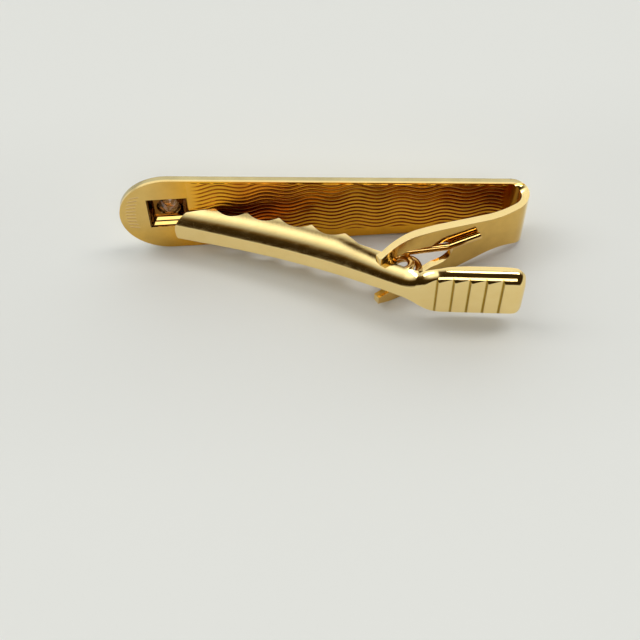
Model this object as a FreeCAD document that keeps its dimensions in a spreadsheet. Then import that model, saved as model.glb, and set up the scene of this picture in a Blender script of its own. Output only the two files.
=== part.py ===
"""Pinch tie clip: bent bar strip, stamped lever, wound spring and a set stone.

The model's own frame has X along the bar from its rounded end, Y through the clip with the bar's back at
zero and the lever on the negative side, and Z across the bar with zero on the middle line of the fork and the
lever. Every sub-part is then placed so that the origin is at the middle of the bottom of the clip as it lies
on its side.
"""
import FreeCAD, Part
import math
import os
import re
import Sketcher

Vector = FreeCAD.Vector

# Driving dimensions in millimetres and degrees, with counts and shares
SIZES = {
    # bent strip: plate, fold, leg and fork
    "bar_length": 44.5,
    "bar_width": 10.65,
    "strip_thickness": 0.8,
    "fold_width": 7.05,
    "fold_inner_radius": 1.1,
    "leg_angle": 20,
    "leg_run": 8.78,
    "waist_width": 5.24,
    "waist_setback": 3.3,
    "waist_radius": 8,
    "flare_angle": 12.7,
    "fork_width": 9.4,
    "fork_curl_radius": 40,
    "fork_curl_angle": 12,
    "fork_round_radius": 5.2,
    "fork_round_angle": 46,
    "leg_window_width": 3.64,
    "leg_window_setback": 10.47,
    "leg_window_straight": 0.6,
    "throat_run": 3.0,
    "trunnion_radius": 0.3,
    "trunnion_setback": 1.5,
    # lever
    "lever_width": 5.4,
    "lever_sheet": 0.5,
    "lever_bend_radius": 1.35,
    "side_clearance": 0.1,
    "running_clearance": 0.04,
    "jaw_gap": 0.12,
    "jaw_tip_setback": 5.8,
    "jaw_tip_rise": 0.7,
    "jaw_tip_round": 1.3,
    "jaw_lead": 2.1,
    "first_scallop": 4.6,
    "scallop_count": 4,
    "scallop_depth": 0.65,
    "scallop_bow": 0.4,
    "last_scallop_angle": 3.4,
    "flange_height": 2.5,
    "neck_angle": 2.3,
    "neck_height": 1.85,
    "arm_bend": 10.28,
    "web_offset": 1.2,
    "ear_radius": 0.8,
    "heel_run": 5.0,
    "knee_radius": 6,
    "saddle_run": 1.55,
    "saddle_height": 0.72,
    "tab_angle": 6.2,
    "tab_run": 9.98,
    "tab_width": 6.6,
    "tab_bend_radius": 0.7,
    "tab_flare_radius": 6.2,
    "tab_flare_run": 4.7,
    "tab_flare_reach": 1.6,
    "tab_end_round": 1.2,
    "tab_lead_height": 1.15,
    "tab_lead_run": 2.6,
    "tab_flange_height": 1.67,
    "tab_corner_drop": 0.4,
    "rib_count": 5,
    "rib_start": -0.36,
    "rib_pitch": 1.7,
    "rib_depth": 0.2,
    "rib_slope_run": 1.3,
    "rib_riser_run": 0.25,
    # wound spring
    "wire_diameter": 0.8,
    "coil_radius": 1.02,
    "coil_turns": 2,
    "coil_gap": 0.56,
    "coil_rise": 0.33,
    "coil_run": 3.78,
    "upper_tail_start": 5.0,
    "upper_tail_run": 3.9,
    "upper_bend_radius": 1.5,
    "lower_tail_reach": 2.4,
    "wire_clearance": 0.03,
    # setting and stone
    "setting_width": 4.4,
    "setting_rise": 0.37,
    "setting_clearance": 0.02,
    "collet_recess": 0.2,
    "collet_step_width": 3.4,
    "collet_step_depth": 0.25,
    "collet_proud": 0.8,
    "seat_bore": 2.5,
    "lip_height": 0.2,
    "lip_overlap": 0.1,
    "stone_diameter": 2.8,
    "girdle_height": 0.05,
    "pavilion_share": 0.43,
    "crown_share": 0.15,
    "table_share": 0.57,
    # overrun of every cut past the face that it leaves
    "overrun": 2.0,
}

doc = FreeCAD.newDocument("tie_clip")
sizes = doc.addObject("Spreadsheet::Sheet", "Sizes")
for row, (alias, number) in enumerate(SIZES.items(), start=1):
    sizes.set(f"A{row}", alias)
    sizes.set(f"B{row}", str(number))
    sizes.setAlias(f"B{row}", alias)
places = doc.addObject("Spreadsheet::Sheet", "Places")
place_names = []


def place(alias, formula):
    """Store a derived value: a formula over driving dimensions and earlier derived values."""
    place_names.append(alias)
    row = len(place_names)
    in_sizes = re.sub(r"[a-z_]+", lambda word: f"Sizes.{word[0]}" if word[0] in SIZES else word[0], formula)
    places.set(f"A{row}", alias)
    places.set(f"B{row}", f"={in_sizes}")
    places.setAlias(f"B{row}", alias)


def point(name, across, up):
    """Store a derived point of an outline, in the axes of its sketch."""
    place(f"{name}_u", across)
    place(f"{name}_v", up)


def polar_point(name, centre, radius, angle):
    """Store a derived point at a radius from another, its angle turned from the second axis to the first."""
    point(name, f"{centre}_u + ({radius}) * sin({angle})", f"{centre}_v + ({radius}) * cos({angle})")


def shifted_point(name, base, angle, along, out):
    """Store a derived point moved along a slope that falls by the angle, and out from it toward the bar."""
    point(name, f"{base}_u + ({along}) * cos({angle}) + ({out}) * sin({angle})",
          f"{base}_v - ({along}) * sin({angle}) + ({out}) * cos({angle})")


def held(alias):
    """Number held by a driving dimension or a derived value."""
    value = getattr(sizes if alias in SIZES else places, alias)
    return float(getattr(value, "Value", value))


def held_point(name):
    """Derived point of an outline, in the axes of its sketch."""
    return Vector(held(f"{name}_u"), held(f"{name}_v"), 0)


def cell(alias):
    """Expression that reads a driving dimension or a derived value."""
    return f"Sizes.{alias}" if alias in SIZES else f"Places.{alias}"


# Side of the strip: plate, fold and leg
place("fold_outer", "fold_inner_radius + strip_thickness")
place("fold_centre", "bar_length - fold_outer")
point("plate_front", "0", "strip_thickness")
point("plate_back", "0", "0")
point("fold_front", "fold_centre", "strip_thickness")
point("fold_back", "fold_centre", "0")
point("leg_root", "fold_centre + fold_outer * sin(leg_angle)",
      "-fold_inner_radius - fold_outer * cos(leg_angle)")
shifted_point("leg_root_inside", "leg_root", "-leg_angle", "0", "strip_thickness")
shifted_point("leg_end", "leg_root", "-leg_angle", "-leg_run", "0")
shifted_point("leg_end_inside", "leg_root_inside", "-leg_angle", "-leg_run", "0")
shifted_point("curl_centre", "leg_end", "-leg_angle", "0", "-fork_curl_radius")
place("curl_inside_radius", "fork_curl_radius + strip_thickness")
place("tip_angle", "leg_angle + fork_curl_angle")
polar_point("fork_tip", "curl_centre", "fork_curl_radius", "-tip_angle")
polar_point("fork_tip_inside", "curl_centre", "curl_inside_radius", "-tip_angle")

# Axis of the trunnions, in the middle of the strip near the tips of the fork
place("pivot_radius", "fork_curl_radius + strip_thickness / 2")
place("pivot_angle", "tip_angle - trunnion_setback / pivot_radius * 180 / pi")
polar_point("pivot", "curl_centre", "pivot_radius", "-pivot_angle")
place("trunnion_clear", "2 * trunnion_radius")

# Plate seen from its back: rounded end, straight lower edge and slanted upper edge
place("fold_half", "fold_width / 2")
place("end_radius", "bar_width / 2")
point("end_centre", "end_radius", "end_radius - fold_half")
place("taper_run", "bar_length - end_radius")
place("taper_fall", "fold_half - end_centre_v")
place("taper_reach", "sqrt(taper_run ^ 2 + taper_fall ^ 2)")
place("taper_touch", "90 - (atan(taper_fall / taper_run) + acos(end_radius / taper_reach)) / 1 deg")
place("past_fold", "bar_length + overrun / 2")
point("plate_lower_right", "past_fold", "-fold_half")
point("plate_lower_left", "end_radius", "-fold_half")
point("plate_end", "0", "end_centre_v")
polar_point("plate_upper_left", "end_centre", "end_radius", "taper_touch")
point("plate_upper_fold", "bar_length", "fold_half")
point("plate_upper_right", "past_fold", "fold_half")
place("blank_reach", "bar_width + overrun")
for side, sign in (("upper", ""), ("lower", "-")):
    point(f"blank_{side}_left", "-overrun", f"{sign}blank_reach")
    point(f"blank_{side}_right", "bar_length + overrun", f"{sign}blank_reach")

# Leg seen from its outer side: waist, flare, rounded fork and window, alike above and below the middle line
place("waist_half", "waist_width / 2")
place("waist_sag", "fold_half - waist_half")
place("waist_fold_radius", "(waist_setback ^ 2 + waist_sag ^ 2) / (2 * waist_sag)")
place("waist_centre", "bar_length - waist_setback")
place("flare_start", "waist_centre - waist_radius * sin(flare_angle)")
place("flare_start_half", "waist_half + waist_radius * (1 - cos(flare_angle))")
place("flare_end_half", "fork_width / 2 - fork_round_radius * (1 - cos(flare_angle))")
place("flare_end", "flare_start - (flare_end_half - flare_start_half) / tan(flare_angle)")
place("round_rest", "fork_round_angle - flare_angle")
place("fork_end", "flare_end - fork_round_radius * (sin(flare_angle) + sin(round_rest))")
place("fork_end_half", "flare_end_half - fork_round_radius * (cos(flare_angle) - cos(round_rest))")
place("past_tip", "fork_tip_inside_u - overrun / 2")
place("window_half", "leg_window_width / 2")
place("window_centre", "bar_length - leg_window_setback")
place("throat_start", "window_centre - leg_window_straight")
place("throat_end", "throat_start - throat_run")
place("fork_gap_half", "lever_width / 2 + side_clearance")
place("trunnion_root", "fork_gap_half + trunnion_radius")
for side, sign in (("upper", ""), ("lower", "-")):
    point(f"leg_{side}_right", "past_fold", f"{sign}fold_half")
    point(f"leg_{side}_fold", "bar_length", f"{sign}fold_half")
    point(f"leg_{side}_waist", "waist_centre", f"{sign}waist_half")
    point(f"leg_{side}_flare", "flare_start", f"{sign}flare_start_half")
    point(f"leg_{side}_round", "flare_end", f"{sign}flare_end_half")
    point(f"leg_{side}_end", "fork_end", f"{sign}fork_end_half")
    point(f"leg_{side}_left", "past_tip", f"{sign}fork_end_half")
    point(f"window_{side}_right", "window_centre", f"{sign}window_half")
    point(f"window_{side}_throat", "throat_start", f"{sign}window_half")
    point(f"window_{side}_fork", "throat_end", f"{sign}fork_gap_half")
    point(f"window_{side}_left", "past_tip", f"{sign}fork_gap_half")
point("window_end", "window_centre + window_half", "0")

# Lever from the side: outer face of the web from the jaw's tip over the heel and the knee to the thumb tab
place("lever_half", "lever_width / 2")
place("channel_half", "lever_half - lever_sheet")
place("tab_clear_width", "tab_width + overrun")
place("ear_hole_radius", "trunnion_radius + running_clearance")
point("jaw_tip", "jaw_tip_setback", "-jaw_gap - jaw_tip_rise")
place("heel_angle", "atan((jaw_tip_v - pivot_v) / (pivot_u - jaw_tip_u)) / 1 deg + arm_bend")
shifted_point("heel", "pivot", "heel_angle", "0", "-web_offset")
place("arm_run", "heel_u - jaw_tip_u")
place("arm_fall", "jaw_tip_v - heel_v")
place("arm_chord", "sqrt(arm_run ^ 2 + arm_fall ^ 2)")
place("chord_angle", "atan(arm_fall / arm_run) / 1 deg")
place("arm_radius", "arm_chord / (2 * sin(heel_angle - chord_angle))")
place("jaw_angle", "2 * chord_angle - heel_angle")
shifted_point("arm_centre", "heel", "heel_angle", "0", "-arm_radius")
shifted_point("knee", "heel", "heel_angle", "heel_run", "0")
place("knee_reach", "knee_radius * tan((heel_angle - tab_angle) / 2)")
shifted_point("knee_start", "knee", "heel_angle", "-knee_reach", "0")
shifted_point("knee_stop", "knee", "tab_angle", "knee_reach", "0")
shifted_point("tab_end", "knee", "tab_angle", "tab_run", "0")
shifted_point("tab_past", "tab_end", "tab_angle", "overrun", "0")
place("lever_blank_depth", "flange_height + overrun")
shifted_point("jaw_tip_top", "jaw_tip", "jaw_angle", "0", "lever_blank_depth")
shifted_point("knee_start_top", "knee_start", "heel_angle", "0", "lever_blank_depth")
shifted_point("heel_top", "heel", "heel_angle", "0", "lever_blank_depth")
shifted_point("tab_past_top", "tab_past", "tab_angle", "0", "lever_blank_depth")

# Inside of the channel
place("channel_depth", "lever_blank_depth + overrun")
place("arm_inside_radius", "arm_radius + lever_sheet")
place("knee_inside_radius", "knee_radius - lever_sheet")
shifted_point("inner_jaw", "jaw_tip", "jaw_angle", "0", "lever_sheet")
shifted_point("inner_mouth", "inner_jaw", "jaw_angle", "-overrun", "0")
shifted_point("inner_heel", "heel", "heel_angle", "0", "lever_sheet")
shifted_point("inner_knee_start", "knee_start", "heel_angle", "0", "lever_sheet")
shifted_point("inner_knee_stop", "knee_stop", "tab_angle", "0", "lever_sheet")
shifted_point("inner_past", "tab_past", "tab_angle", "0", "lever_sheet")
shifted_point("inner_mouth_top", "inner_mouth", "jaw_angle", "0", "channel_depth")
shifted_point("inner_heel_top", "heel", "heel_angle", "0", "channel_depth")
shifted_point("inner_knee_start_top", "knee_start", "heel_angle", "0", "channel_depth")
shifted_point("inner_past_top", "tab_past", "tab_angle", "0", "channel_depth")

# Thumb tab and the inside of its channel, seen square to the bar: flare, straight sides and round corners
place("tab_flare", "knee_u + tab_flare_reach")
place("tab_root", "tab_flare - tab_flare_run")
place("tab_plan_depth", "2 * (overrun - tab_past_v)")
for part, inset in (("tab", "0"), ("tab_core", "lever_sheet")):
    place(f"{part}_half", f"tab_width / 2 - {inset}")
    place(f"{part}_flare_round", f"tab_flare_radius - {inset}")
    place(f"{part}_end_inset", f"tab_end_u - {inset}")
    place(f"{part}_corner_round", f"tab_end_round - {inset}")
    place(f"{part}_root_half",
          f"{part}_half - {part}_flare_round + sqrt({part}_flare_round ^ 2 - tab_flare_run ^ 2)")
    for side, sign in (("upper", ""), ("lower", "-")):
        point(f"{part}_{side}_root", "tab_root", f"{sign}{part}_root_half")
        point(f"{part}_{side}_flare", "tab_flare", f"{sign}{part}_half")
        point(f"{part}_{side}_corner", f"{part}_end_inset - {part}_corner_round", f"{sign}{part}_half")
        point(f"{part}_{side}_end", f"{part}_end_inset", f"{sign}({part}_half - {part}_corner_round)")

# Free edge of the flanges: jaw with scallops, ear round the pivot, saddle and tab
point("edge_mouth", "inner_jaw_u - overrun", "inner_jaw_v")
point("edge_lead", "jaw_tip_u + jaw_lead", "-jaw_gap")
point("scallop_first", "jaw_tip_u + first_scallop", "-jaw_gap")
polar_point("scallop_last", "arm_centre", "arm_radius + flange_height", "heel_angle - last_scallop_angle")
place("scallop_run", "scallop_last_u - scallop_first_u")
place("scallop_fall", "scallop_last_v - scallop_first_v")
place("scallop_pitch", "sqrt(scallop_run ^ 2 + scallop_fall ^ 2) / scallop_count")
place("scallop_radius", "(scallop_pitch ^ 2 / 4 + scallop_depth ^ 2) / (2 * scallop_depth)")
scallop_tips = ["scallop_first"]
for index in range(1, SIZES["scallop_count"]):
    place(f"scallop_{index}_share", f"{index} / scallop_count")
    point(f"scallop_tip_{index}", f"scallop_first_u + scallop_run * scallop_{index}_share",
          f"scallop_first_v + scallop_fall * scallop_{index}_share"
          f" + 4 * scallop_bow * scallop_{index}_share * (1 - scallop_{index}_share)")
    scallop_tips.append(f"scallop_tip_{index}")
polar_point("edge_neck", "arm_centre", "arm_radius + neck_height", "heel_angle - neck_angle")
shifted_point("ear_top", "pivot", "heel_angle", "0", "ear_radius")
shifted_point("ear_side", "pivot", "heel_angle", "ear_radius", "0")
shifted_point("saddle_start", "heel", "heel_angle", "saddle_run", "saddle_height")
shifted_point("saddle_stop", "knee", "(heel_angle + tab_angle) / 2", "0", "saddle_height")
shifted_point("tab_edge_start", "knee_stop", "tab_angle", "0", "tab_lead_height")
shifted_point("tab_edge_full", "knee_stop", "tab_angle", "tab_lead_run", "tab_flange_height")
shifted_point("tab_edge_stop", "tab_end", "tab_angle", "-tab_corner_drop", "tab_flange_height")
shifted_point("tab_corner", "tab_end", "tab_angle", "0", "tab_flange_height - tab_corner_drop")
shifted_point("edge_past", "tab_corner", "tab_angle", "overrun", "0")
point("edge_past_top", "edge_past_u", "channel_depth")
point("edge_mouth_top", "edge_mouth_u", "channel_depth")

# Rounded corners of the jaw's tip, seen square to the bar
for side, sign in (("upper", ""), ("lower", "-")):
    point(f"tip_{side}_start", "jaw_tip_u", f"{sign}(lever_half - jaw_tip_round)")
    point(f"tip_{side}_stop", "jaw_tip_u + jaw_tip_round", f"{sign}lever_half")
    point(f"tip_{side}_over", "jaw_tip_u + jaw_tip_round", f"{sign}(lever_half + overrun)")
    point(f"tip_{side}_past", "jaw_tip_u - overrun", f"{sign}(lever_half + overrun)")
    point(f"tip_{side}_before", "jaw_tip_u - overrun", f"{sign}(lever_half - jaw_tip_round)")

# Ribs pressed across the thumb tab: each slope sinks into the web and ends at a steep riser
RIB_CORNERS = {
    "out": ("- rib_slope_run", "-overrun"),
    "lead": ("- rib_slope_run", "0"),
    "foot": ("", "rib_depth"),
    "back": ("+ rib_riser_run", "0"),
    "past": ("+ rib_riser_run", "-overrun"),
}
rib_count = SIZES["rib_count"]
for index in range(rib_count):
    place(f"rib_run_{index}", f"rib_start + {index} * rib_pitch")
    for corner, (along, out) in RIB_CORNERS.items():
        shifted_point(f"rib_{corner}_{index}", "knee_stop", "tab_angle", f"rib_run_{index} {along}", out)

# Setting: square window, stepped collet and stone, the last two measured from the stone's own axis
point("setting_centre", "end_centre_u", "end_centre_v + setting_rise")
place("window_side_half", "setting_width / 2")
place("collet_half", "window_side_half - setting_clearance")
place("step_half", "collet_step_width / 2")
SQUARE = {"lower_left": "--", "lower_right": "+-", "upper_right": "++", "upper_left": "-+"}
for name, half in (("setting", "window_side_half"), ("collet", "collet_half"), ("step", "step_half")):
    for corner, (across, up) in SQUARE.items():
        point(f"{name}_{corner}", f"setting_centre_u {across} {half}", f"setting_centre_v {up} {half}")
place("collet_front", "strip_thickness + collet_proud")
place("collet_depth", "collet_front - collet_recess")
place("stone_radius", "stone_diameter / 2")
place("pavilion_depth", "pavilion_share * stone_diameter")
place("girdle_top", "collet_front - lip_height")
place("girdle_foot", "girdle_top - girdle_height")
place("stone_front", "girdle_top + crown_share * stone_diameter")
point("stone_culet", "0", "girdle_foot - pavilion_depth")
point("stone_girdle_foot", "stone_radius", "girdle_foot")
point("stone_girdle_top", "stone_radius", "girdle_top")
point("stone_table_rim", "stone_radius * table_share", "stone_front")
point("stone_table", "0", "stone_front")
place("seat_radius", "stone_radius + setting_clearance")
place("seat_foot", "stone_culet_v - setting_clearance")
point("seat_back", "0", "collet_recess - overrun")
point("seat_bore_back", "seat_bore / 2", "collet_recess - overrun")
point("seat_bore_front", "seat_bore / 2", "seat_foot + pavilion_depth * seat_bore / stone_diameter")
point("seat_ledge", "seat_radius", "seat_foot + pavilion_depth * seat_radius / stone_radius")
point("seat_girdle", "seat_radius", "girdle_top + setting_clearance")
point("seat_lip", "stone_radius - lip_overlap", "collet_front")
point("seat_lip_front", "stone_radius - lip_overlap", "collet_front + overrun")
point("seat_front", "0", "collet_front + overrun")

# Origin of the clip: middle of its bottom as it lies on its side
place("tab_outer", "tab_end_v + tab_bend_radius * (tan(tab_angle) + 1 / cos(tab_angle) - 1)")
place("origin_x", "-bar_length / 2")
place("origin_y", "-(stone_front + tab_outer) / 2")
place("origin_z", "fork_width / 2")
doc.recompute()


def new_body(name):
    """Empty body of a sub-part, placed from the clip's origin."""
    body = doc.addObject("PartDesign::Body", name)
    body.Label = name
    bind_placement(body)
    return body


def bind_placement(subpart):
    """Move a sub-part from the model's own frame to the clip's origin."""
    for axis in "xyz":
        subpart.setExpression(f"Placement.Base.{axis}", f"Places.origin_{axis}")


def new_sketch(body, name, role, **offsets):
    """Sketch on one of the body's origin planes, moved along the sketch's own axes by bound values."""
    sketch = body.newObject("Sketcher::SketchObject", name)
    plane = next(item for item in body.Origin.OriginFeatures if item.Role == role)
    sketch.AttachmentSupport = [(plane, "")]
    sketch.MapMode = "FlatFace"
    for axis, formula in offsets.items():
        sketch.setExpression(f"AttachmentOffset.Base.{axis}", formula)
    return sketch


def bind_constraint(sketch, formula, *constraint):
    """Add a dimension to a sketch and bind it to a formula."""
    index = sketch.addConstraint(Sketcher.Constraint(*constraint))
    sketch.setExpression(f"Constraints[{index}]", formula)


def bind_point(sketch, name, geometry, end):
    """Hold a corner of an outline at a derived point."""
    for kind, axis, line in (("DistanceX", "u", -2), ("DistanceY", "v", -1)):
        value = held(f"{name}_{axis}")
        if value == 0:
            sketch.addConstraint(Sketcher.Constraint("PointOnObject", geometry, end, line))
        else:
            bind_constraint(sketch, cell(f"{name}_{axis}"), kind, -1, 1, geometry, end, value)


def short_arc(start, stop, radius, turn):
    """Arc of under a half circle that turns left or right on the way from start to stop."""
    chord = stop - start
    left = Vector(-chord.y, chord.x, 0).normalize()
    reach = math.sqrt(radius ** 2 - (chord.Length / 2) ** 2)
    centre = (start + stop) / 2 + left * (reach if turn == "left" else -reach)
    first, last = (start, stop) if turn == "left" else (stop, start)
    angles = [math.atan2(end.y - centre.y, end.x - centre.x) for end in (first, last)]
    return Part.ArcOfCircle(Part.Circle(centre, Vector(0, 0, 1), radius), *angles)


def add_outline(sketch, corners, arcs=None):
    """Closed outline through derived points. arcs gives a side, by its first corner, a radius and a turn."""
    arcs = arcs or {}
    sides = []
    for name, following in zip(corners, corners[1:] + corners[:1]):
        start = held_point(name)
        stop = held_point(following)
        if name in arcs:
            radius, turn = arcs[name]
            shape = short_arc(start, stop, held(radius), turn)
            ends = (1, 2) if turn == "left" else (2, 1)
        else:
            radius = None
            shape = Part.LineSegment(start, stop)
            ends = (1, 2)
        sides.append((sketch.addGeometry(shape, False), ends, radius))
    for (side, ends, radius), (after, after_ends, after_radius) in zip(sides, sides[1:] + sides[:1]):
        sketch.addConstraint(Sketcher.Constraint("Coincident", side, ends[1], after, after_ends[0]))
    for name, (side, ends, radius) in zip(corners, sides):
        bind_point(sketch, name, side, ends[0])
        if radius:
            bind_constraint(sketch, cell(radius), "Radius", side, held(radius))


def add_circle(sketch, name, radius):
    """Circle of a derived radius round a derived point."""
    shape = Part.Circle(held_point(name), Vector(0, 0, 1), held(radius))
    circle = sketch.addGeometry(shape, False)
    bind_point(sketch, name, circle, 3)
    bind_constraint(sketch, cell(radius), "Radius", circle, held(radius))


def add_feature(body, kind, name, sketch, length, side="One side", reverse=False):
    """Pad or pocket of a sketch with its length bound to a formula."""
    feature = body.newObject(f"PartDesign::{kind}", name)
    feature.Profile = sketch
    feature.SideType = side
    feature.Reversed = reverse
    feature.setExpression("Length", length)
    doc.recompute()
    return feature


def add_turned(body, kind, name, sketch):
    """Revolution or groove of a sketch round its own upright axis."""
    feature = body.newObject(f"PartDesign::{kind}", name)
    feature.Profile = sketch
    feature.ReferenceAxis = (sketch, ["V_Axis"])
    doc.recompute()
    return feature


def add_fillet(body, name, base, edges, radius):
    """Fillet of the chosen edges of a feature, with its radius bound to a formula."""
    fillet = body.newObject("PartDesign::Fillet", name)
    fillet.Base = (base, edges)
    fillet.setExpression("Radius", radius)
    doc.recompute()
    return fillet


def add_channel(body, name, web, tops, arcs, width, radius, plan=None):
    """Solid of a bent channel: side padded to a width, trimmed to a plan and rounded where the walls begin.

    web and tops list the corners of the web and of the far side. plan names the points of the plan's outline.
    """
    side = new_sketch(body, f"{name}_side", "XY_Plane")
    add_outline(side, web + tops, arcs)
    solid = add_feature(body, "Pad", f"{name}_pad", side, width, SYMMETRIC)
    end = None
    if plan:
        seen = new_sketch(body, f"{name}_plan", "XZ_Plane")
        add_outline(seen, BLANK)
        lower = [f"{plan}_lower_{corner}" for corner in PLAN_CORNERS]
        upper = [f"{plan}_upper_{corner}" for corner in reversed(PLAN_CORNERS)]
        add_outline(
            seen, lower + upper,
            {f"{plan}_lower_root": (f"{plan}_flare_round", "left"),
             f"{plan}_lower_corner": (f"{plan}_corner_round", "left"),
             f"{plan}_upper_end": (f"{plan}_corner_round", "left"),
             f"{plan}_upper_flare": (f"{plan}_flare_round", "left")})
        solid = add_feature(body, "Pocket", f"{name}_plan_cut", seen, cell("tab_plan_depth"), SYMMETRIC)
        end = held(f"{plan}_end_inset")
    line = Part.Compound([shape.toShape() for shape in side.Geometry[:len(web) - 1]])
    return add_fillet(body, f"{name}_bends", solid, web_edges(solid.Shape, line, end), radius)


def web_edges(shape, line, end):
    """Edges, by name, where a channel's web meets its walls.

    line is the web as seen from the side, and end is where a wall closes the channel.
    """
    chosen = []
    for number, edge in enumerate(shape.Edges, start=1):
        spots = [Vector(spot.x, spot.y, 0) for spot in edge.discretize(Number=EDGE_SPOTS)]
        on_web = all(Part.Vertex(spot).distToShape(line)[0] < TOUCH for spot in spots)
        straight_across = spots[0].isEqual(spots[-1], TOUCH)
        at_end = end is not None and abs(spots[0].x - end) < TOUCH
        if on_web and (at_end or not straight_across):
            chosen.append(f"Edge{number}")
    return chosen


# Points at which an edge is compared with a line
EDGE_SPOTS = 5

# Distance within which two points are the same point
TOUCH = 1e-4

BLANK = ["blank_lower_left", "blank_lower_right", "blank_upper_right", "blank_upper_left"]
PLAN_CORNERS = ["root", "flare", "corner", "end"]
SYMMETRIC = "Symmetric"
STONE_AXIS = {"x": "Places.setting_centre_u", "z": "Places.setting_centre_v"}


def make_bar():
    """Strip bent into plate, fold and leg, trimmed to its outlines, with the trunnions on the fork."""
    body = new_body("bar_strip")
    side = new_sketch(body, "strip_side", "XY_Plane")
    add_outline(
        side,
        ["plate_front", "fold_front", "leg_root", "leg_end", "fork_tip", "fork_tip_inside", "leg_end_inside",
         "leg_root_inside", "fold_back", "plate_back"],
        {"fold_front": ("fold_outer", "right"),
         "leg_end": ("fork_curl_radius", "left"),
         "fork_tip_inside": ("curl_inside_radius", "right"),
         "leg_root_inside": ("fold_inner_radius", "left")})
    add_feature(body, "Pad", "strip_pad", side, "2 * Sizes.bar_width", SYMMETRIC)

    plate = new_sketch(body, "plate_outline", "XZ_Plane", z="Sizes.fold_inner_radius")
    add_outline(plate, BLANK)
    add_outline(
        plate,
        ["plate_lower_right", "plate_lower_left", "plate_end", "plate_upper_left", "plate_upper_fold",
         "plate_upper_right"],
        {"plate_lower_left": ("end_radius", "right"), "plate_end": ("end_radius", "right")})
    add_feature(body, "Pocket", "plate_trim", plate, "Places.fold_outer + Sizes.overrun")

    leg = new_sketch(body, "leg_outline", "XZ_Plane", z="Sizes.fold_inner_radius")
    add_outline(leg, BLANK)
    upper = ["right", "fold", "waist", "flare", "round", "end", "left"]
    corners = [f"leg_upper_{name}" for name in upper] + [f"leg_lower_{name}" for name in reversed(upper)]
    add_outline(
        leg, corners,
        {"leg_upper_fold": ("waist_fold_radius", "right"), "leg_upper_waist": ("waist_radius", "right"),
         "leg_upper_round": ("fork_round_radius", "left"), "leg_lower_end": ("fork_round_radius", "left"),
         "leg_lower_flare": ("waist_radius", "right"), "leg_lower_waist": ("waist_fold_radius", "right")})
    add_feature(body, "Pocket", "leg_trim", leg, "Sizes.overrun - Places.fork_tip_v", reverse=True)

    window = new_sketch(body, "leg_window", "XZ_Plane", z="Sizes.fold_inner_radius")
    upper = ["right", "throat", "fork", "left"]
    corners = [f"window_upper_{name}" for name in upper]
    corners += [f"window_lower_{name}" for name in reversed(upper)]
    add_outline(window, ["window_end"] + corners,
                {"window_end": ("window_half", "left"), "window_lower_right": ("window_half", "left")})
    add_feature(body, "Pocket", "leg_window_cut", window, "Sizes.overrun - Places.fork_tip_v", reverse=True)

    setting = new_sketch(body, "setting_window", "XZ_Plane", z="Sizes.fold_inner_radius")
    add_outline(setting, [f"setting_{corner}" for corner in SQUARE])
    add_feature(body, "Pocket", "setting_cut", setting, "Places.fold_outer + Sizes.overrun")

    pin = new_sketch(body, "trunnion_circle", "XY_Plane")
    add_circle(pin, "pivot", "trunnion_radius")
    add_feature(body, "Pad", "trunnion_pin", pin, "2 * Places.trunnion_root", SYMMETRIC)
    middle = new_sketch(body, "trunnion_middle", "XY_Plane")
    add_circle(middle, "pivot", "trunnion_clear")
    add_feature(body, "Pocket", "trunnion_split", middle, "2 * Places.channel_half", SYMMETRIC)
    return body


def make_tool(name, web, tops, arcs, width, radius, plan=None):
    """Channel solid in the lever's own frame, to be joined to the lever or cut from it."""
    body = doc.addObject("PartDesign::Body", name)
    add_channel(body, f"{name}_channel", web, tops, arcs, width, radius, plan)
    return body


def add_boolean(body, name, kind, tools):
    """Join tool bodies to a body or cut them from it."""
    boolean = body.newObject("PartDesign::Boolean", name)
    boolean.Type = kind
    boolean.Group = tools
    doc.recompute()


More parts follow.
